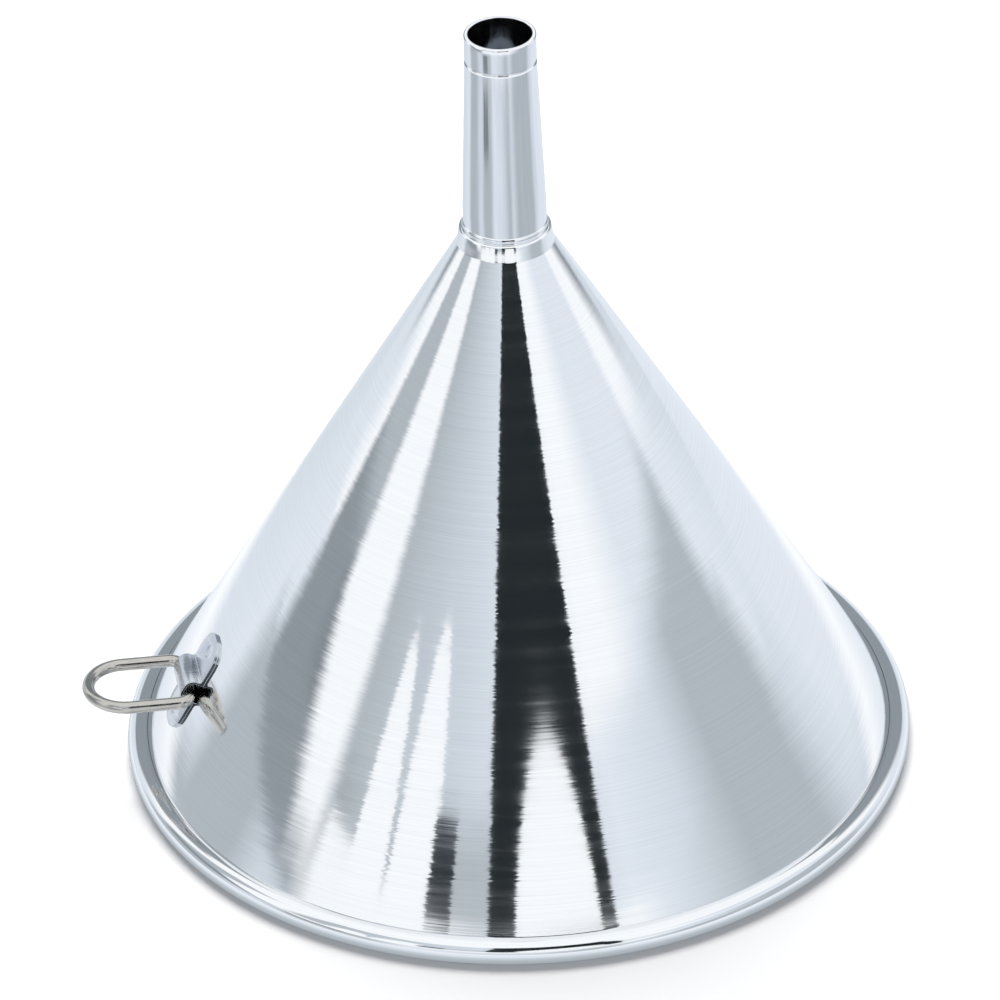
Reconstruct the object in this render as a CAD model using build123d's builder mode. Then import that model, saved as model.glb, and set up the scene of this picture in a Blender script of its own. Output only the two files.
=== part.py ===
from build123d import *
from math import cos, radians, sin, sqrt, tan
import os

# Spun aluminium funnel standing on its mouth, spout up, with a hanging ring on one side.
# Millimetres. +Z runs up the spout, the origin is the middle of the mouth, on the surface it rests on.

os.makedirs("parts", exist_ok=True)

# Driving dimensions
sheet = 0.9  # wall of the cone and of the spout
cone_half_angle = 30.5
mouth_radius = 85.5  # over the rolled rim
rim_radius = 2.8  # outside of the rolled rim's round section
rim_stand = 0.165  # how far the middle of the roll stands outside the cone's outer face
rim_land = 0.03  # trued off the underside, so that the rim rests on a narrow flat ring
roll_gap = 0.2  # left open where the rolled edge comes back to the cone
inner_blend = 1.5  # inside the mouth, where the wall turns into the roll

collar_radius = 9.6  # top of the short steep collar above the cone
collar_height = 3.6
collar_taper = 9  # degrees, its side from upright
collar_blend = 1.0  # where cone and collar meet
collar_round = 0.5
spigot_radius = 7.85  # outside of the cone's neck, where the spout fits over it
spigot_height = 4.9

swage_height = 1.3  # ring rolled into spout and neck together, which locks them
swage_rise = 0.3
swage_foot = 0.1  # straight edge left under the ring
tip_radius = 7.48
tip_length = 6.0
spout_height = 45.2  # from the collar's shoulder to the tip
score_width = 0.9  # groove rolled round the spout where its taper starts
score_depth = 0.28
lip_round = 0.35
lip_break = 0.2

hanger_height = 23.0  # of the strap's middle on the cone's outer face
strap_length = 23.0
strap_width = 11.0
strap_sheet = 0.6
strap_end_round = 4.6
weld_offset = 7.9  # spot weld marks, from the strap's middle
weld_radius = 1.4
weld_depth = 0.2
weld_taper = 30  # degrees, the sloping side of the mark

wire_radius = 1.35
wire_clearance = 0.1  # between the ring's bar and the strap
bar_gap = 0.15  # between the ring's bar and the cone
loop_play = 0.75  # half of the room that the bar has along the strap
loop_blend = 0.6
ring_length = 21.2  # from the bar to the middle of the wire at the ring's round end
ring_half_width = 8.1  # to the middle of the wire
ring_corner = 3.0
ring_lift = 2.0  # degrees above level

# The cone's outer face, as a line in the section (radius, height)
slope = tan(radians(cone_half_angle))
sin_a, cos_a = sin(radians(cone_half_angle)), cos(radians(cone_half_angle))
rim_middle = (mouth_radius - rim_radius, rim_radius - rim_land)
face_foot = (rim_middle[0] - rim_stand * cos_a, rim_middle[1] - rim_stand * sin_a)


def face_height(radius, inset=0.0):
    """Height at which the cone's outer face, or a face inset from it, has this radius."""
    return face_foot[1] + (face_foot[0] - inset / cos_a - radius) / slope


def face_radius(height):
    """Radius of the cone's outer face at this height."""
    return face_foot[0] - (height - face_foot[1]) * slope


collar_foot_radius = collar_radius + collar_height * tan(radians(collar_taper))
collar_foot = face_height(collar_foot_radius)
shoulder = collar_foot + collar_height
swage_middle = shoulder + swage_foot + swage_height / 2
tip_top = shoulder + spout_height
score_middle = tip_top - tip_length


def swage(radius):
    """Lower end, crest and upper end of the locking ring on a wall of this radius."""
    return (
        (radius, swage_middle - swage_height / 2),
        (radius + swage_rise, swage_middle),
        (radius, swage_middle + swage_height / 2),
    )


# Cone: one blank spun to a cone, its edge rolled outwards into a bead, its top drawn into a stepped neck
with BuildPart() as funnel_cone:
    neck_inside = spigot_radius - sheet
    collar_inside = collar_radius - sheet
    collar_foot_inside = collar_foot_radius - sheet
    inner_foot = (face_foot[0] - sheet * cos_a, face_foot[1] - sheet * sin_a)
    outer_swage = swage(spigot_radius)
    inner_swage = swage(neck_inside)
    with BuildSketch(Plane.XZ):
        with BuildLine():
            FilletPolyline(
                face_foot,
                (collar_foot_radius, collar_foot),
                (collar_radius, shoulder),
                (spigot_radius, shoulder),
                radius=[collar_blend, collar_round],
            )
            Line((spigot_radius, shoulder), outer_swage[0])
            ThreePointArc(*outer_swage)
            Polyline(
                outer_swage[2],
                (spigot_radius, shoulder + spigot_height),
                (neck_inside, shoulder + spigot_height),
                inner_swage[2],
            )
            ThreePointArc(*reversed(inner_swage))
            Polyline(
                inner_swage[0],
                (neck_inside, shoulder - sheet),
                (collar_inside, shoulder - sheet),
                (collar_foot_inside, face_height(collar_foot_inside, sheet)),
                inner_foot,
                face_foot,
            )
        make_face()
        with Locations(rim_middle):
            Circle(rim_radius)
        # the corner inside the mouth between wall and roll is an easy curve
        wall_inside = rim_stand + sheet
        reach = sqrt(rim_radius**2 - wall_inside**2)
        corner = Vector(*rim_middle) - Vector(cos_a, sin_a) * wall_inside - Vector(sin_a, -cos_a) * reach
        fillet(vertices().sort_by_distance(corner)[0], radius=inner_blend)
        with Locations(rim_middle):
            Circle(rim_radius - sheet, mode=Mode.SUBTRACT)
        # the rolled edge stops just short of the cone's outer face
        with Locations(Location(face_foot, 90 + cone_half_angle)):
            Rectangle(
                2 * rim_radius, roll_gap, align=(Align.MIN, Align.MAX), mode=Mode.SUBTRACT
            )
        Rectangle(4 * mouth_radius, rim_radius, align=(Align.CENTER, Align.MAX), mode=Mode.SUBTRACT)
    revolve(axis=Axis.Z)

funnel_cone.part.label = "funnel_cone"
export_step(funnel_cone.part, "parts/funnel_cone.step")

# Spout: seamless tube drawn to a taper, slipped over the cone's spigot and locked by the rolled ring
with BuildPart() as spout_tube:
    spout_radius = spigot_radius + sheet
    taper_start = shoulder + spigot_height
    score_top = score_middle + score_width / 2
    score_bottom = score_middle - score_width / 2
    outer_swage = swage(spout_radius)
    inner_swage = swage(spigot_radius)
    with BuildSketch(Plane.XZ):
        with BuildLine():
            Line((spout_radius, shoulder), outer_swage[0])
            ThreePointArc(*outer_swage)
            Polyline(outer_swage[2], (spout_radius, taper_start), (tip_radius, score_bottom))
            ThreePointArc(
                (tip_radius, score_bottom), (tip_radius - score_depth, score_middle), (tip_radius, score_top)
            )
            FilletPolyline(
                (tip_radius, score_top),
                (tip_radius, tip_top),
                (tip_radius - sheet, tip_top),
                (tip_radius - sheet, score_bottom),
                radius=[lip_round, lip_break],
            )
            Polyline((tip_radius - sheet, score_bottom), (spigot_radius, taper_start), inner_swage[2])
            ThreePointArc(*reversed(inner_swage))
            Polyline(inner_swage[0], (spigot_radius, shoulder), (spout_radius, shoulder))
        make_face()
    revolve(axis=Axis.Z)

spout_tube.part.label = "spout_tube"
export_step(spout_tube.part, "parts/spout_tube.step")

# Hanger strap: strip pressed over the ring's bar, with both feet spot welded to the cone on the -X side
strap_middle = Vector(-face_radius(hanger_height), 0, hanger_height)
up_cone = Vector(sin_a, 0, cos_a)
off_cone = Vector(-cos_a, 0, sin_a)
strap_section = Plane(origin=strap_middle, x_dir=up_cone, z_dir=up_cone.cross(off_cone))
strap_plan = Plane(origin=strap_middle, x_dir=up_cone, z_dir=off_cone)
loop_radius = wire_radius + wire_clearance  # inside the loop, round the bar
bar_height = wire_radius + bar_gap  # the bar's middle above the cone
loop_top = bar_height + loop_radius

with BuildPart() as hanger_strap:
    loop_half = loop_play + loop_radius
    with BuildSketch(strap_section):
        with BuildLine():
            FilletPolyline(
                (-strap_length / 2, strap_sheet),
                (-loop_half - strap_sheet, strap_sheet),
                (-loop_half - strap_sheet, loop_top + strap_sheet),
                (loop_half + strap_sheet, loop_top + strap_sheet),
                (loop_half + strap_sheet, strap_sheet),
                (strap_length / 2, strap_sheet),
                radius=[loop_blend, loop_radius + strap_sheet, loop_radius + strap_sheet, loop_blend],
            )
            Polyline(
                (strap_length / 2, strap_sheet),
                (strap_length / 2, -strap_sheet),
                (loop_half, -strap_sheet),
            )
            FilletPolyline(
                (loop_half, -strap_sheet),
                (loop_half, loop_top),
                (-loop_half, loop_top),
                (-loop_half, -strap_sheet),
                radius=loop_radius,
            )
            Polyline(
                (-loop_half, -strap_sheet),
                (-strap_length / 2, -strap_sheet),
                (-strap_length / 2, strap_sheet),
            )
        make_face()
    extrude(amount=strap_width / 2, both=True)
    with BuildSketch(strap_plan):
        RectangleRounded(strap_length, strap_width, strap_end_round)
    extrude(amount=2 * loop_top, both=True, mode=Mode.INTERSECT)
    # the feet are pressed to the cone's curve
    with BuildSketch(Plane.XZ):
        Polygon(
            (0, 0), (face_radius(0), 0), (collar_foot_radius, collar_foot), (0, collar_foot), align=None
        )
    revolve(axis=Axis.Z, mode=Mode.SUBTRACT)
    with BuildSketch(strap_plan.offset(strap_sheet)):
        with Locations((-weld_offset, 0), (weld_offset, 0)):
            Circle(weld_radius)
    extrude(amount=-weld_depth, taper=weld_taper, mode=Mode.SUBTRACT)

hanger_strap.part.label = "hanger_strap"
export_step(hanger_strap.part, "parts/hanger_strap.step")

# Hanger ring: one length of round wire, closed by a butt weld in its straight bar
bar_middle = strap_middle + off_cone * bar_height - up_cone * loop_play
lift = radians(ring_lift)
outwards = Vector(-cos(lift), 0, sin(lift))
ring_plane = Plane(origin=bar_middle, x_dir=outwards, z_dir=outwards.cross(Vector(0, 1, 0)))

with BuildPart() as hanger_ring:
    bend = ring_length - ring_half_width
    with BuildLine(ring_plane) as ring_path:
        FilletPolyline(
            (bend, ring_half_width),
            (0, ring_half_width),
            (0, -ring_half_width),
            (bend, -ring_half_width),
            radius=ring_corner,
        )
        ThreePointArc((bend, -ring_half_width), (ring_length, 0), (bend, ring_half_width))
    with BuildSketch(Plane(origin=bar_middle, z_dir=(0, 1, 0))):
        Circle(wire_radius)
    sweep(path=ring_path.wire())

hanger_ring.part.label = "hanger_ring"
export_step(hanger_ring.part, "parts/hanger_ring.step")
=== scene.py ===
import bpy
from math import asin, cos, degrees, pi, radians, sin, sqrt, tan
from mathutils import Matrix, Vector


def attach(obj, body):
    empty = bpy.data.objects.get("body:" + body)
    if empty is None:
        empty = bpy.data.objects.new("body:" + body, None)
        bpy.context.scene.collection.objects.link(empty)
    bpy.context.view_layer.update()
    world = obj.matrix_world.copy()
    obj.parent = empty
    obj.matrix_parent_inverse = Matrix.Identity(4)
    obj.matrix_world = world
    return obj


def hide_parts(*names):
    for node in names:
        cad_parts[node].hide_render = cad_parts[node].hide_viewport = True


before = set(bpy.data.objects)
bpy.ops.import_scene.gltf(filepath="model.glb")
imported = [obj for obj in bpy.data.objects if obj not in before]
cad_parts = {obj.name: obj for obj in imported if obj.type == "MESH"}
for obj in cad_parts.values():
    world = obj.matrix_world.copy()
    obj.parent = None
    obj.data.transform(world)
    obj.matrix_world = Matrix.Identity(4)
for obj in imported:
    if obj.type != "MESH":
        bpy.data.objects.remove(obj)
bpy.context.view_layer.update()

# ---------------------------------------------------------------------------
# Cone: one disc of 0.9 mm aluminium spun over a former to a steep cone. Its edge is rolled outwards
# into a full round bead that stands on the table, and its top is drawn in to a collar and a spigot.
# ---------------------------------------------------------------------------
mm = 0.001
sheet = 0.9
lean = radians(30.5)  # of the wall, from upright
bead_middle = Vector((82.7, 0, 2.77))
bead_radius = 2.8
bead_stand = 0.165  # of the bead's middle outside the wall's outer face
bead_gap = 0.06  # between the rolled edge and the wall
inner_blend = 1.5
collar_radius, collar_tall, collar_taper = 9.6, 3.6, radians(9)  # at its top, and from upright
collar_round, collar_blend = 0.5, 1.0  # on its shoulder, and where its side meets the wall
spigot_radius, spigot_tall = 7.85, 4.9
swage_foot, swage_tall, swage_rise = 0.1, 1.3, 0.3  # of the locking ring

up_wall = Vector((-sin(lean), 0, cos(lean)))
off_wall = Vector((cos(lean), 0, sin(lean)))
wall_foot = bead_middle - off_wall * bead_stand


def wall_at(radius, inset=0.0):
    """Where the wall's outer face, or a face inset from it, has this radius."""
    foot = wall_foot - off_wall * inset
    return foot + up_wall * ((foot.x - radius) / sin(lean))


collar_foot = wall_at(collar_radius + collar_tall * tan(collar_taper))
collar_top = collar_foot.z + collar_tall
spigot_top = collar_top + spigot_tall
swage_low = collar_top + swage_foot
swage_high = swage_low + swage_tall


def start_section(name, point):
    """A new piece, as one point of its section."""
    bpy.ops.object.select_all(action="DESELECT")
    bpy.ops.mesh.primitive_plane_add(size=mm, location=Vector(point) * mm)
    piece = bpy.context.object
    piece.name = piece.data.name = name
    bpy.ops.object.transform_apply(location=True, rotation=True, scale=True)
    bpy.ops.object.mode_set(mode="EDIT")
    bpy.ops.mesh.select_all(action="SELECT")
    bpy.ops.mesh.merge(type="CENTER")
    bpy.context.scene.cursor.location = Vector(point) * mm
    return piece


def draw_to(point, steps=1):
    """Carries the section on in a straight line."""
    pen = bpy.context.scene.cursor
    stride = (Vector(point) * mm - pen.location) / steps
    for _ in range(steps):
        bpy.ops.mesh.extrude_region_move(TRANSFORM_OT_translate={"value": stride})
    pen.location = Vector(point) * mm


def draw_round(middle, turn, steps):
    """Carries the section on round a middle, by degrees, positive from +Z towards +X."""
    pen = bpy.context.scene.cursor
    middle = Vector(middle) * mm
    bpy.ops.mesh.spin(steps=steps, angle=radians(turn), center=middle, axis=(0, -1, 0))
    arm = pen.location - middle
    c, s = cos(radians(turn)), sin(radians(turn))
    pen.location = middle + Vector((arm.x * c + arm.z * s, 0, arm.z * c - arm.x * s))


def draw_swage(radius, upwards):
    """Carries the section on round the locking ring's bulge, on a wall of this radius."""
    half = swage_tall / 2
    bulge = (half**2 + swage_rise**2) / (2 * swage_rise)
    middle = Vector((radius + swage_rise - bulge, 0, (swage_low + swage_high) / 2))
    sweep = 2 * degrees(asin(half / bulge))
    draw_to((radius, 0, swage_low if upwards else swage_high))
    draw_round(middle, -sweep if upwards else sweep, 10)


def merge_doubles():
    """Merges points that lie on one another, and leaves all of the mesh selected."""
    bpy.ops.mesh.select_all(action="SELECT")
    bpy.ops.mesh.remove_doubles(threshold=0.002 * mm)
    bpy.ops.mesh.select_all(action="SELECT")


def smooth(crease):
    """Smooths the shading over every edge that is less sharp than this many degrees."""
    bpy.ops.object.shade_smooth_by_angle(angle=radians(crease), keep_sharp_edges=False)


def close_shape():
    """Closes seams, turns faces outwards and smooths what isn't an edge."""
    merge_doubles()
    bpy.ops.mesh.normals_make_consistent(inside=False)
    bpy.ops.object.mode_set(mode="OBJECT")
    smooth(35)


def turn_section(segments):
    """Turns the closed section once round the funnel's axis."""
    merge_doubles()
    bpy.ops.mesh.spin(steps=segments, angle=2 * pi, center=(0, 0, 0), axis=(0, 0, 1))
    close_shape()


def on_bead(radius, angle):
    """A point round the bead's middle, by degrees from straight up the wall towards the outside."""
    return bead_middle + (up_wall * cos(radians(angle)) + off_wall * sin(radians(angle))) * radius


hollow = bead_radius - sheet
edge_out = degrees(asin((bead_gap - bead_stand) / bead_radius))
edge_in = degrees(asin((bead_gap - bead_stand) / hollow))
wall_in = 360 + degrees(asin(-bead_stand / hollow))
blend_across = -(sheet + inner_blend + bead_stand)
blend_up = sqrt((bead_radius + inner_blend) ** 2 - blend_across**2)
blend_middle = bead_middle + up_wall * blend_up + off_wall * blend_across
blend_on_bead = 360 + degrees(asin(blend_across / (bead_radius + inner_blend)))

cone = start_section("cone", on_bead(bead_radius, edge_out))
draw_round(bead_middle, blend_on_bead - edge_out, 56)
draw_round(blend_middle, -(blend_on_bead - 270), 8)
neck_inside = spigot_radius - sheet
draw_to(wall_at(collar_foot.x - sheet, sheet), 16)
draw_to((collar_radius - sheet, 0, collar_top - sheet), 2)
draw_to((neck_inside, 0, collar_top - sheet))
draw_swage(neck_inside, upwards=True)
draw_to((neck_inside, 0, spigot_top))
draw_to((spigot_radius, 0, spigot_top))
draw_swage(spigot_radius, upwards=False)
draw_to((spigot_radius, 0, collar_top))
# the collar's shoulder is rounded, and an easy curve joins its side to the cone
side_up = Vector((-sin(collar_taper), 0, cos(collar_taper)))
side_out = Vector((cos(collar_taper), 0, sin(collar_taper)))
corner = collar_round * tan((pi / 2 - collar_taper) / 2)
draw_to((collar_radius - corner, 0, collar_top))
draw_round((collar_radius - corner, 0, collar_top - collar_round), 90 - degrees(collar_taper), 8)
easy = collar_foot + side_up * collar_blend * tan((lean - collar_taper) / 2)
draw_to(easy, 2)
draw_round(easy + side_out * collar_blend, degrees(collar_taper - lean), 8)
draw_to(wall_foot + up_wall * sqrt(hollow**2 - bead_stand**2), 16)
draw_round(bead_middle, edge_in - wall_in, 48)
draw_to(on_bead(bead_radius, edge_out))
turn_section(320)

# the bead's underside is trued to a narrow flat, which the funnel rests on
bpy.ops.object.mode_set(mode="EDIT")
bpy.ops.mesh.select_all(action="DESELECT")
bpy.ops.object.mode_set(mode="OBJECT")
for point in cone.data.vertices:
    point.select = point.co.z < 0
bpy.ops.object.mode_set(mode="EDIT")
bpy.ops.transform.resize(value=(1, 1, 0), center_override=(0, 0, 0))
bpy.ops.object.mode_set(mode="OBJECT")


def colour(hex_value):
    """sRGB hex to the linear colour that a shader takes."""
    parts = [int(hex_value[i : i + 2], 16) / 255 for i in (1, 3, 5)]
    return [p / 12.92 if p <= 0.04045 else ((p + 0.055) / 1.055) ** 2.4 for p in parts] + [1]


def shown(sockets, name):
    """The socket of this name that a node shows, as some nodes hide others of the same name."""
    return next(s for s in sockets if s.enabled and s.name == name)


def add(tree, kind, sockets=None, **settings):
    """Adds one node with its settings. A socket, by name or number, gets a value or another node's output."""
    made = tree.nodes.new(kind)
    for name, value in settings.items():
        setattr(made, name, value)
    for key, value in (sockets or {}).items():
        socket = made.inputs[key] if isinstance(key, int) else shown(made.inputs, key)
        if isinstance(value, bpy.types.NodeSocket):
            tree.links.new(value, socket)
        else:
            socket.default_value = value
    return made


def new_material(name):
    """A material with no nodes yet, and its tree."""
    made = bpy.data.materials.new(name)
    made.use_nodes = True
    made.node_tree.nodes.clear()
    return made, made.node_tree


# Spun aluminium, buffed in the lathe: a near mirror that is drawn out along the slope by very fine
# turning lines. Each line faces a little off its neighbours, so edges in the reflections are ragged.
spun, tree = new_material("spun_aluminium")
place = add(tree, "ShaderNodeTexCoord")
# 3.6 lines to the millimetre, each some 70 mm long: real ones are finer, but too fine to show
along = add(
    tree, "ShaderNodeMapping",
    {"Vector": place.outputs["Object"], "Scale": (0.014 / mm, 0.014 / mm, 3.6 / mm)},
)
lines = add(
    tree, "ShaderNodeTexNoise",
    {"Vector": along.outputs[0], "Scale": 1.0, "Detail": 2.0, "Roughness": 0.6},
)
# broader passes of the buff, 2 mm apart and some 80 mm long
broad = add(
    tree, "ShaderNodeMapping",
    {"Vector": place.outputs["Object"], "Scale": (0.012 / mm, 0.012 / mm, 0.52 / mm)},
)
passes = add(tree, "ShaderNodeTexNoise", {"Vector": broad.outputs[0], "Scale": 1.0, "Detail": 2.0})
# a noise colour lies round mid grey, so that is taken off to leave a tilt either way
level = (0.5, 0.5, 0.5)
fine = add(tree, "ShaderNodeVectorMath", {0: lines.outputs["Color"], 1: level}, operation="SUBTRACT")
slow = add(tree, "ShaderNodeVectorMath", {0: passes.outputs["Color"], 1: level}, operation="SUBTRACT")
faint = add(
    tree, "ShaderNodeVectorMath",
    {0: slow.outputs[0], 1: (0.012, 0.012, 0.008)}, operation="MULTIPLY",
)
tilt = add(
    tree, "ShaderNodeVectorMath",
    {0: fine.outputs[0], 1: (0.045, 0.045, 0.02), 2: faint.outputs[0]}, operation="MULTIPLY_ADD",
)
facing = add(tree, "ShaderNodeNewGeometry")
tilted = add(
    tree, "ShaderNodeVectorMath",
    {0: facing.outputs["Normal"], 1: tilt.outputs[0]}, operation="ADD",
)
normal = add(tree, "ShaderNodeVectorMath", {0: tilted.outputs[0]}, operation="NORMALIZE")
rough = add(
    tree, "ShaderNodeMapRange",
    {"Value": passes.outputs[0], "From Min": 0.3, "From Max": 0.7, "To Min": 0.05, "To Max": 0.1},
)
tint = add(
    tree, "ShaderNodeMix",
    {"Factor": lines.outputs[0], "A": colour("#E8EAEC"), "B": colour("#F8F9FA")}, data_type="RGBA",
)
round_axis = add(tree, "ShaderNodeTangent", direction_type="RADIAL", axis="Z")
metal = add(
    tree, "ShaderNodeBsdfPrincipled",
    {"Base Color": shown(tint.outputs, "Result"), "Roughness": rough.outputs[0], "Normal": normal.outputs[0],
     "Tangent": round_axis.outputs[0], "Metallic": 1.0, "Anisotropic": 0.6, "Anisotropic Rotation": 0.25},
)
add(tree, "ShaderNodeOutputMaterial", {"Surface": metal.outputs[0]})
cone.data.materials.append(spun)
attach(cone, "funnel")
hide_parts("funnel_cone")

# ---------------------------------------------------------------------------
# Spout: seamless aluminium tube drawn to a taper. It is pushed over the cone's spigot down to the
# collar and locked there by a ring rolled into both. A line is rolled round it where the taper ends.
# ---------------------------------------------------------------------------
spout_radius = spigot_radius + sheet
spout_tall = 45.2  # from the collar's shoulder to the tip
tip_radius, tip_tall = 7.48, 6.0
score_width, score_depth = 0.9, 0.28
lip_round, lip_break = 0.35, 0.2
tip_top = collar_top + spout_tall
score_middle = tip_top - tip_tall
score_low, score_high = score_middle - score_width / 2, score_middle + score_width / 2
score_bend = ((score_width / 2) ** 2 + score_depth**2) / (2 * score_depth)
score_sweep = 2 * degrees(asin(score_width / 2 / score_bend))

spout = start_section("spout", (spout_radius, 0, collar_top))
draw_swage(spout_radius, upwards=True)
draw_to((spout_radius, 0, spigot_top), 2)
draw_to((tip_radius, 0, score_low), 12)
draw_round((tip_radius - score_depth + score_bend, 0, score_middle), score_sweep, 8)
draw_to((tip_radius, 0, tip_top - lip_round), 3)
draw_round((tip_radius - lip_round, 0, tip_top - lip_round), -90, 8)
draw_to((tip_radius - sheet + lip_break, 0, tip_top))
draw_round((tip_radius - sheet + lip_break, 0, tip_top - lip_break), -90, 5)
draw_to((tip_radius - sheet, 0, score_low), 3)
draw_to((spigot_radius, 0, spigot_top), 12)
draw_swage(spigot_radius, upwards=False)
draw_to((spigot_radius, 0, collar_top))
draw_to((spout_radius, 0, collar_top))
turn_section(160)

# Drawn aluminium tube, polished by hand: brighter than the cone, with faint marks along its length.
drawn, tree = new_material("drawn_aluminium")
place = add(tree, "ShaderNodeTexCoord")
# draw marks about 0.8 mm apart, which fade in and out over 20 mm
along = add(
    tree, "ShaderNodeMapping",
    {"Vector": place.outputs["Object"], "Scale": (1.3 / mm, 1.3 / mm, 0.05 / mm)},
)
marks = add(tree, "ShaderNodeTexNoise", {"Vector": along.outputs[0], "Scale": 1.0, "Detail": 2.0})
fine = add(tree, "ShaderNodeVectorMath", {0: marks.outputs["Color"], 1: level}, operation="SUBTRACT")
tilt = add(
    tree, "ShaderNodeVectorMath",
    {0: fine.outputs[0], 1: (0.03, 0.03, 0.012)}, operation="MULTIPLY",
)
facing = add(tree, "ShaderNodeNewGeometry")
tilted = add(
    tree, "ShaderNodeVectorMath",
    {0: facing.outputs["Normal"], 1: tilt.outputs[0]}, operation="ADD",
)
normal = add(tree, "ShaderNodeVectorMath", {0: tilted.outputs[0]}, operation="NORMALIZE")
rough = add(
    tree, "ShaderNodeMapRange",
    {"Value": marks.outputs[0], "From Min": 0.3, "From Max": 0.7, "To Min": 0.05, "To Max": 0.11},
)
tint = add(
    tree, "ShaderNodeMix",
    {"Factor": marks.outputs[0], "A": colour("#E4E6EA"), "B": colour("#F5F6F8")}, data_type="RGBA",
)
metal = add(
    tree, "ShaderNodeBsdfPrincipled",
    {"Base Color": shown(tint.outputs, "Result"), "Roughness": rough.outputs[0], "Normal": normal.outputs[0],
     "Metallic": 1.0},
)
add(tree, "ShaderNodeOutputMaterial", {"Surface": metal.outputs[0]})
spout.data.materials.append(drawn)
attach(spout, "funnel")
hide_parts("spout_tube")

# ---------------------------------------------------------------------------
# Hanger strap: a strip of aluminium sheet with round ends, pressed over the ring's bar. Both feet are
# spot welded to the cone, which leaves a shallow round mark in each.
# ---------------------------------------------------------------------------
strap_height, strap_length, strap_width, strap_sheet = 23.0, 23.0, 11.0, 0.6
strap_end_round = 4.6
loop_radius, loop_play, loop_blend, loop_top = 1.45, 0.75, 0.6, 2.95  # inside the loop
weld_offset, weld_radius, weld_depth, weld_slope = 7.9, 1.4, 0.2, radians(30)
sunk = 0.25  # of the feet's flat underside into the round wall

strap_middle = wall_at(wall_foot.x - (strap_height - wall_foot.z) * tan(lean))
strap_middle.x = -strap_middle.x
up_strap = Vector((sin(lean), 0, cos(lean)))
off_strap = Vector((-cos(lean), 0, sin(lean)))


def on_strap(along, above, across=0.0):
    """A point by distances up the cone from the strap's middle, off the cone, and across."""
    return strap_middle + up_strap * along + off_strap * above + Vector((0, across, 0))


# one side of the strip is drawn round its bends, and then pulled across to the other
bend = loop_radius + strap_sheet
side = loop_play + bend
left = -strap_width / 2
strap = start_section("hanger_strap", on_strap(-strap_length / 2, -sunk, left))
draw_to(on_strap(-strap_length / 2, strap_sheet, left))
draw_to(on_strap(-side - loop_blend, strap_sheet, left))
draw_round(on_strap(-side - loop_blend, strap_sheet + loop_blend, left), -90, 5)
draw_to(on_strap(-side, loop_top + strap_sheet - bend, left))
draw_round(on_strap(-loop_play, loop_top + strap_sheet - bend, left), 90, 14)
draw_to(on_strap(loop_play, loop_top + strap_sheet, left))
draw_round(on_strap(loop_play, loop_top + strap_sheet - bend, left), 90, 14)
draw_to(on_strap(side, strap_sheet + loop_blend, left))
draw_round(on_strap(side + loop_blend, strap_sheet + loop_blend, left), -90, 5)
draw_to(on_strap(strap_length / 2, strap_sheet, left))
draw_to(on_strap(strap_length / 2, -sunk, left))
draw_to(on_strap(loop_play + loop_radius, -sunk, left))
draw_to(on_strap(loop_play + loop_radius, loop_top - loop_radius, left))
draw_round(on_strap(loop_play, loop_top - loop_radius, left), -90, 12)
draw_to(on_strap(-loop_play, loop_top, left))
draw_round(on_strap(-loop_play, loop_top - loop_radius, left), -90, 12)
draw_to(on_strap(-loop_play - loop_radius, -sunk, left))
draw_to(on_strap(-strap_length / 2, -sunk, left))
merge_doubles()
bpy.ops.mesh.edge_face_add()
bpy.ops.mesh.extrude_region_move(TRANSFORM_OT_translate={"value": (0, strap_width * mm, 0)})
bpy.ops.mesh.select_all(action="SELECT")
bpy.ops.mesh.normals_make_consistent(inside=False)

# the strip's four corners are rounded off
bpy.ops.mesh.select_mode(type="EDGE")
bpy.ops.mesh.select_all(action="DESELECT")
bpy.ops.object.mode_set(mode="OBJECT")
for line in strap.data.edges:
    a, b = (strap.data.vertices[v].co / mm - strap_middle for v in line.vertices)
    at_end = min(abs(a.dot(up_strap)), abs(b.dot(up_strap))) > strap_length / 2 - 0.01
    line.select = at_end and abs((a - b).y) < 0.01
bpy.ops.object.mode_set(mode="EDIT")
bpy.ops.mesh.bevel(offset=strap_end_round * mm, segments=14, offset_type="OFFSET")
bpy.ops.mesh.select_mode(type="VERT")
bpy.ops.object.mode_set(mode="OBJECT")

# the spot welds' marks are sunk into the feet, and every edge is taken off
for end in (-weld_offset, weld_offset):
    bpy.ops.object.select_all(action="DESELECT")
    bpy.ops.mesh.primitive_cone_add(
        vertices=40, depth=2 * weld_depth * mm,
        radius1=(weld_radius - weld_depth * tan(weld_slope)) * mm,
        radius2=(weld_radius + weld_depth * tan(weld_slope)) * mm,
        location=on_strap(end, strap_sheet) * mm, rotation=(0, lean - pi / 2, 0),
    )
    mark = bpy.context.object
    bpy.context.view_layer.objects.active = strap
    cut = strap.modifiers.new("weld_mark", "BOOLEAN")
    cut.operation, cut.object, cut.solver = "DIFFERENCE", mark, "EXACT"
    bpy.ops.object.modifier_apply(modifier=cut.name)
    bpy.data.objects.remove(mark)
strap.select_set(True)
rounding = strap.modifiers.new("edges", "BEVEL")
rounding.width, rounding.segments = 0.12 * mm, 2
rounding.limit_method, rounding.angle_limit = "ANGLE", radians(40)
bpy.ops.object.modifier_apply(modifier=rounding.name)
smooth(40)

# Rolled aluminium sheet, left as it came from the press: brighter on its corners, with a fine grain
# along the strip.
pressed, tree = new_material("pressed_aluminium_strip")
place = add(tree, "ShaderNodeTexCoord")
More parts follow.
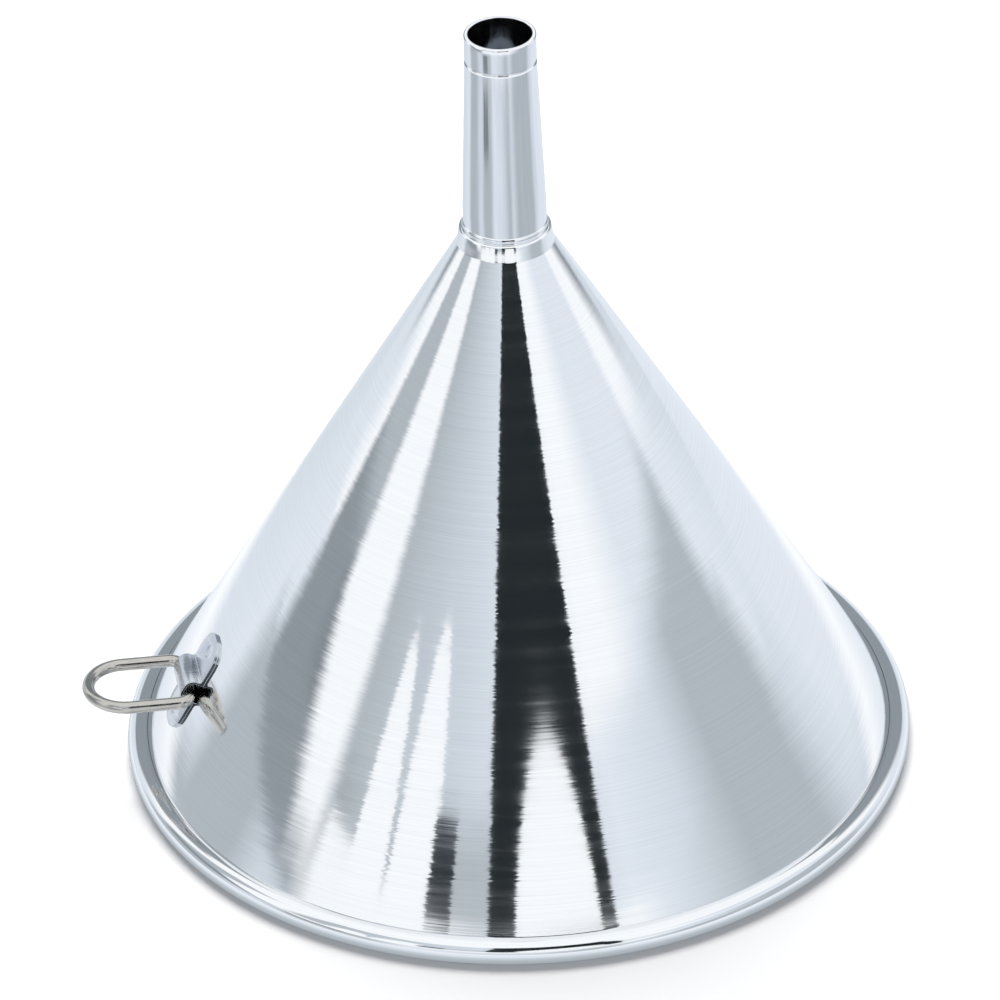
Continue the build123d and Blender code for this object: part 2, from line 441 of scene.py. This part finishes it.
# rolling marks about 0.5 mm apart and 8 mm long, along the strip
along = add(
    tree, "ShaderNodeMapping",
    {"Vector": place.outputs["Object"], "Rotation": (0, pi / 2 - lean, 0),
     "Scale": (0.12 / mm, 1.9 / mm, 1.9 / mm)},
)
grain = add(tree, "ShaderNodeTexNoise", {"Vector": along.outputs[0], "Scale": 1.0, "Detail": 3.0})
lift = add(tree, "ShaderNodeBump", {"Height": grain.outputs[0], "Strength": 0.25, "Distance": 0.08 * mm})
rough = add(
    tree, "ShaderNodeMapRange",
    {"Value": grain.outputs[0], "From Min": 0.3, "From Max": 0.7, "To Min": 0.16, "To Max": 0.3},
)
tint = add(
    tree, "ShaderNodeMix",
    {"Factor": grain.outputs[0], "A": colour("#C2C7CD"), "B": colour("#DDE1E6")}, data_type="RGBA",
)
metal = add(
    tree, "ShaderNodeBsdfPrincipled",
    {"Base Color": shown(tint.outputs, "Result"), "Roughness": rough.outputs[0], "Normal": lift.outputs[0],
     "Metallic": 1.0},
)
add(tree, "ShaderNodeOutputMaterial", {"Surface": metal.outputs[0]})
strap.data.materials.append(pressed)

# Sheared sides of the strip: torn and dull, with painted shade that makes them dark grey, turning near black
# next to the loop where the loop keeps the light off. The round ends keep the strip's pressed finish.
sheared, tree = new_material("sheared_edge_painted_shade")
place = add(tree, "ShaderNodeTexCoord")
# tears 0.4 mm apart
tears = add(
    tree, "ShaderNodeTexNoise",
    {"Vector": place.outputs["Object"], "Scale": 2.5 / mm, "Detail": 1.0},
)
# painted shade: near black beside the loop, fading to the torn grey towards the strip's ends
from_loop = add(
    tree, "ShaderNodeVectorMath",
    {0: place.outputs["Object"], 1: strap_middle * mm}, operation="DISTANCE",
)
loop_shade = add(
    tree, "ShaderNodeMapRange",
    {"Value": from_loop.outputs["Value"], "From Min": side * mm, "From Max": strap_length / 2 * mm},
)
torn = add(
    tree, "ShaderNodeMix",
    {"Factor": tears.outputs[0], "A": colour("#4A5054"), "B": colour("#7C8286")}, data_type="RGBA",
)
tint = add(
    tree, "ShaderNodeMix",
    {"Factor": loop_shade.outputs[0], "A": colour("#1C1F20"), "B": shown(torn.outputs, "Result")}, data_type="RGBA",
)
metal = add(
    tree, "ShaderNodeBsdfPrincipled",
    {"Base Color": shown(tint.outputs, "Result"), "Roughness": 0.4, "Metallic": 1.0},
)
add(tree, "ShaderNodeOutputMaterial", {"Surface": metal.outputs[0]})
strap.data.materials.append(sheared)
# only the long sides take the dark edge colour with its painted shade
for face in strap.data.polygons:
    beside = abs((face.center / mm - strap_middle).y) > strap_width / 2 - 0.3
    face.material_index = int(beside and abs(face.normal.y) > 0.95)
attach(strap, "funnel")
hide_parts("hanger_strap")

# ---------------------------------------------------------------------------
# Hanging ring: one length of 2.7 mm steel wire bent to a long D with round corners, butt welded in its
# straight bar, which turns in the strap. It is nickel plated.
# ---------------------------------------------------------------------------
wire_radius, bar_gap = 1.35, 0.15
ring_length, ring_half_width, ring_corner = 21.2, 8.1, 3.0
ring_lift = radians(2)
bar_middle = on_strap(-loop_play, wire_radius + bar_gap)
outwards = Vector((-cos(ring_lift), 0, sin(ring_lift)))
across = Vector((0, 1, 0))
turn_axis = outwards.cross(across)
straight = ring_half_width - ring_corner
arc_middle = ring_length - ring_half_width
near_corner = bar_middle - across * straight + outwards * ring_corner
far_corner = bar_middle + across * straight + outwards * ring_corner

bpy.ops.object.select_all(action="DESELECT")
bpy.ops.mesh.primitive_circle_add(
    vertices=40, radius=wire_radius * mm,
    location=(bar_middle - across * straight) * mm, rotation=(pi / 2, 0, 0),
)
ring = bpy.context.object
ring.name = ring.data.name = "hanging_ring"
bpy.ops.object.transform_apply(location=True, rotation=True, scale=True)
bpy.ops.object.mode_set(mode="EDIT")
bpy.ops.mesh.select_all(action="SELECT")
# each straight is carried on in six pieces, and then round its bend
for stride, middle, turn, steps in (
    (across * 2 * straight, far_corner, 90, 12),
    (outwards * (arc_middle - ring_corner), bar_middle + outwards * arc_middle, 180, 48),
    (outwards * (ring_corner - arc_middle), near_corner, 90, 12),
):
    for _ in range(6):
        bpy.ops.mesh.extrude_region_move(TRANSFORM_OT_translate={"value": stride / 6 * mm})
    bpy.ops.mesh.spin(steps=steps, angle=radians(turn), center=middle * mm, axis=turn_axis)
close_shape()

# Drawn steel wire, bright nickel plated: a little warmer and darker than the aluminium, with faint
# marks where it rubs on its hook.
nickel, tree = new_material("nickel_plated_wire")
place = add(tree, "ShaderNodeTexCoord")
# rub marks about 2 mm long and 0.8 mm high
along = add(
    tree, "ShaderNodeMapping",
    {"Vector": place.outputs["Object"], "Scale": (0.5 / mm, 0.5 / mm, 1.3 / mm)},
)
rubs = add(tree, "ShaderNodeTexNoise", {"Vector": along.outputs[0], "Scale": 1.0, "Detail": 3.0})
lift = add(tree, "ShaderNodeBump", {"Height": rubs.outputs[0], "Strength": 0.15, "Distance": 0.05 * mm})
rough = add(
    tree, "ShaderNodeMapRange",
    {"Value": rubs.outputs[0], "From Min": 0.3, "From Max": 0.7, "To Min": 0.1, "To Max": 0.2},
)
tint = add(
    tree, "ShaderNodeMix",
    {"Factor": rubs.outputs[0], "A": colour("#B7B3AC"), "B": colour("#CFCCC6")}, data_type="RGBA",
)
metal = add(
    tree, "ShaderNodeBsdfPrincipled",
    {"Base Color": shown(tint.outputs, "Result"), "Roughness": rough.outputs[0], "Normal": lift.outputs[0],
     "Metallic": 1.0},
)
add(tree, "ShaderNodeOutputMaterial", {"Surface": metal.outputs[0]})
ring.data.materials.append(nickel)
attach(ring, "ring")
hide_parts("hanger_ring")

# ---------------------------------------------------------------------------
# Floor: a plain pale table top. The funnel stands mouth down on it, on the flat under its bead, as it
# would be left to drain.
# ---------------------------------------------------------------------------
bpy.ops.object.select_all(action="DESELECT")
bpy.ops.mesh.primitive_plane_add(size=8, location=(0, 0, 0))
floor = bpy.context.object
floor.name = "floor"

# Matt white laminate: no shine, and hardly a change of tone.
laminate, tree = new_material("white_table")
place = add(tree, "ShaderNodeTexCoord")
# clouds about 110 mm across
grain = add(
    tree, "ShaderNodeTexNoise",
    {"Vector": place.outputs["Object"], "Scale": 0.009 / mm, "Detail": 2.0},
)
shade = add(
    tree, "ShaderNodeMix",
    {"Factor": grain.outputs[0], "A": colour("#F2F2F3"), "B": colour("#F6F6F7")}, data_type="RGBA",
)
surface = add(
    tree, "ShaderNodeBsdfPrincipled",
    {"Base Color": shown(shade.outputs, "Result"), "Roughness": 0.8, "Specular IOR Level": 0.0},
)
add(tree, "ShaderNodeOutputMaterial", {"Surface": surface.outputs[0]})
floor.data.materials.append(laminate)

# ---------------------------------------------------------------------------
# Light tent: a ring of white and grey cloth round the funnel, with a grey sheet under it. Only the metal
# mirrors it, so it neither hides the funnel nor shades the table.
# ---------------------------------------------------------------------------
tent_radius, tent_height, tent_lift = 0.260, 0.340, 0.00005  # metres, the last clear of the table
brightness = 1.16
lens_side = radians(-8.8)  # the lens looks at the funnel from -Y, turned this much about Z
bpy.ops.object.select_all(action="DESELECT")
bpy.ops.mesh.primitive_cylinder_add(
    vertices=180, radius=tent_radius, depth=tent_height, end_fill_type="NGON",
    location=(0, 0, tent_height / 2 + tent_lift),
)
tent = bpy.context.object
tent.name = "light_tent"
bpy.ops.object.transform_apply(location=True, rotation=True, scale=True)

# Cotton cloth, lit through from outside: it glows evenly, white where it is thin and grey where it is
# doubled, with soft edges.
cloth, tree = new_material("tent_cloth")
place = add(tree, "ShaderNodeTexCoord")
turned = add(
    tree, "ShaderNodeMapping",
    {"Vector": place.outputs["Object"], "Rotation": (0, 0, -lens_side)},
)
split = add(tree, "ShaderNodeSeparateXYZ", {"Vector": turned.outputs[0]})
front = add(tree, "ShaderNodeMath", {0: split.outputs[1], 1: -1.0}, operation="MULTIPLY")
angle = add(tree, "ShaderNodeMath", {0: split.outputs[0], 1: front.outputs[0]}, operation="ARCTAN2")
share = add(tree, "ShaderNodeMapRange", {"Value": angle.outputs[0], "From Min": -pi, "From Max": pi})


def ramp(stops, factor=share.outputs[0], low=-180, high=180):
    """Tones or heights along a row of stops, in degrees round from the lens unless told otherwise."""
    made = add(tree, "ShaderNodeValToRGB", {"Fac": factor})
    points = made.color_ramp.elements
    points.remove(points[0])
    for i, (at, value) in enumerate(stops):
        share_of_row = (at - low) / (high - low)
        point = points[0] if i == 0 else points.new(share_of_row)
        point.position = share_of_row
        point.color = colour(value) if isinstance(value, str) else (value, value, value, 1)
    return made.outputs[0]


def blend(factor, first, second):
    """Goes from the first tone to the second as the factor goes from 0 to 1."""
    made = add(
        tree, "ShaderNodeMix",
        {"Factor": factor.outputs[0], "A": first, "B": second}, data_type="RGBA",
    )
    return shown(made.outputs, "Result")


def above(height, softness, lower, upper):
    """The upper tone above this height, a number or another node's output in metres."""
    over = add(tree, "ShaderNodeMath", {0: split.outputs[2], 1: height}, operation="SUBTRACT")
    step = add(
        tree, "ShaderNodeMapRange",
        {"Value": over.outputs[0], "From Min": -softness, "From Max": softness},
        interpolation_type="SMOOTHSTEP",
    )
    return blend(step, lower, upper)


white, pale, cool, grey, dull, dark = "#F4F6F8", "#DCE2EA", "#CED5DE", "#AEB5BB", "#8C9399", "#7A8187"
top_cloth = ramp([
    (-180, dull), (-128, dull), (-118, white), (-104, white), (-100, grey), (-83, grey), (-79, white),
    (-60, white), (-56, grey), (-15, cool), (28, white), (38, white), (55, pale), (90, pale), (96, white),
    (112, white), (130, dull), (180, dull),
])
middle_cloth = ramp([
    (-180, cool), (-140, cool), (-116, pale), (-104, white), (-100, dull), (-86, dull), (-76, dark),
    (-64, dark), (-48, grey), (-12, grey), (28, pale), (48, cool), (62, grey), (86, grey), (94, pale),
    (104, pale), (128, cool), (146, cool), (156, grey), (180, cool),
])
front_cloth = ramp([
    (-180, cool), (-104, pale), (-98, dull), (-62, dull), (-55, white), (28, white), (36, pale), (62, grey),
    (88, grey), (98, pale), (140, cool), (180, cool),
])
low_cloth = ramp([
    (-180, pale), (-150, cool), (-112, pale), (-102, grey), (-80, grey), (-70, cool), (-62, cool),
    (-54, grey), (-36, grey), (-26, pale), (0, cool), (15, grey), (25, cool), (38, grey), (85, grey),
    (97, cool), (112, pale), (180, pale),
])
# height of the edge between the middle and the top cloth, in metres
sill = ramp([
    (-180, 0.087), (-125, 0.095), (-115, 0.116), (-84, 0.116), (-66, 0.063), (-58, 0.063), (-55, 0.092),
    (30, 0.129), (90, 0.129), (112, 0.105), (130, 0.087), (180, 0.087),
])
# the low cloth ends 50 mm up, the front cloth at 81 mm, and the roof starts at 292 mm
lower_walls = above(0.050, 0.003, low_cloth, above(0.081, 0.002, front_cloth, middle_cloth))
walls = above(sill, 0.012, lower_walls, top_cloth)
roofed = above(0.292, 0.006, walls, colour(white))
# the sheet under the funnel is in the bead's shade, and takes the low cloth's tones further out
away = add(tree, "ShaderNodeVectorMath", {0: place.outputs["Object"]}, operation="LENGTH")
near = add(tree, "ShaderNodeMapRange", {"Value": away.outputs["Value"], "From Min": 0.080, "From Max": 0.120})
shaded = ramp([(80, dark), (86, grey), (92, pale), (120, white)], near.outputs[0], 80, 120)
far = add(tree, "ShaderNodeMapRange", {"Value": away.outputs["Value"], "From Min": 0.125, "From Max": 0.165})
sheet_under = blend(far, shaded, low_cloth)
glow = add(
    tree, "ShaderNodeEmission",
    {"Color": above(2 * tent_lift, 0.4 * tent_lift, sheet_under, roofed), "Strength": brightness},
)
add(tree, "ShaderNodeOutputMaterial", {"Surface": glow.outputs[0]})
tent.data.materials.append(cloth)


def show_in_metal_only(made):
    """Leaves a part of the tent to be mirrored by the metal, and unseen everywhere else."""
    made.visible_camera = made.visible_diffuse = made.visible_shadow = made.visible_transmission = False


show_in_metal_only(tent)


def card(name, left, right, low, high, tone, standoff, dome=False):
    """A card hung in the tent, its sides in degrees round from the lens and its heights in metres."""
    middle = radians((left + right) / 2) + lens_side
    half = tent_radius * tan(radians((right - left) / 2))
    bpy.ops.object.select_all(action="DESELECT")
    if dome:
        bpy.ops.mesh.primitive_circle_add(vertices=64, radius=1, fill_type="NGON")
    else:
        bpy.ops.mesh.primitive_plane_add(size=2)
    made = bpy.context.object
    made.name = name
    if dome:
        bpy.ops.object.mode_set(mode="EDIT")
        bpy.ops.mesh.select_all(action="SELECT")
        bpy.ops.mesh.bisect(plane_co=(0, 0, 0), plane_no=(0, 1, 0), clear_inner=True)
        bpy.ops.object.mode_set(mode="OBJECT")
    made.scale = (half, high - low if dome else (high - low) / 2, 1)
    made.rotation_euler = (pi / 2, 0, middle)
    reach = tent_radius - standoff
    made.location = (reach * sin(middle), -reach * cos(middle), low if dome else (low + high) / 2)
    paint, tree = new_material(name)
    lit = add(tree, "ShaderNodeEmission", {"Color": colour(tone), "Strength": brightness})
    add(tree, "ShaderNodeOutputMaterial", {"Surface": lit.outputs[0]})
    made.data.materials.append(paint)
    show_in_metal_only(made)


black, charcoal = "#22282A", "#30363A"
card("lens_gap", -14.5, 28.5, 0.076, 0.288, black, 0.010)
card("white_front_card", -1.5, 18.5, 0.074, 0.128, white, 0.016, dome=True)
card("white_left_card", -36, -23, 0.060, 0.152, white, 0.010, dome=True)
card("white_far_left_card", -47, -37, 0.060, 0.138, white, 0.012, dome=True)
card("grey_left_card", -24.5, -18.5, 0.074, 0.102, charcoal, 0.014)
card("low_grey_card", -56, -42, 0.030, 0.048, dark, 0.012)

# ---------------------------------------------------------------------------
# Room light: soft and white. Most of it comes from a broad softbox behind and above the funnel, so its
# shade lies in front of it.
# ---------------------------------------------------------------------------
room = bpy.data.worlds.new("room")
bpy.context.scene.world = room
room.use_nodes = True
backdrop = room.node_tree.nodes["Background"]
backdrop.inputs["Color"].default_value = colour("#FFFFFF")
backdrop.inputs["Strength"].default_value = 0.3
lamp = bpy.data.lights.new("softbox", "AREA")
lamp.shape, lamp.size, lamp.energy = "DISK", 1.3, 25
softbox = bpy.data.objects.new("softbox", lamp)
bpy.context.scene.collection.objects.link(softbox)
softbox.location = (0.0, 0.62, 1.15)
softbox.rotation_euler = (-softbox.location).to_track_quat("-Z", "Y").to_euler()
softbox.visible_glossy = softbox.visible_camera = False

# ---------------------------------------------------------------------------
# Camera: a long lens, 1.3 m off and 36 degrees above level. It looks from in front and a little to the
# left, with the hanging ring at the left edge of the funnel.
# ---------------------------------------------------------------------------
lens = bpy.data.cameras.new("camera")
lens.lens, lens.sensor_width = 218.37, 36
lens.clip_start, lens.clip_end = 0.05, 20
camera = bpy.data.objects.new("camera", lens)
bpy.context.scene.collection.objects.link(camera)
camera.location = (-0.16538, -1.06830, 0.77768)
camera.rotation_euler = (radians(56.4222), radians(1.3642), radians(-9.5634))
bpy.context.scene.camera = camera
bpy.context.scene.view_settings.view_transform = "Standard"
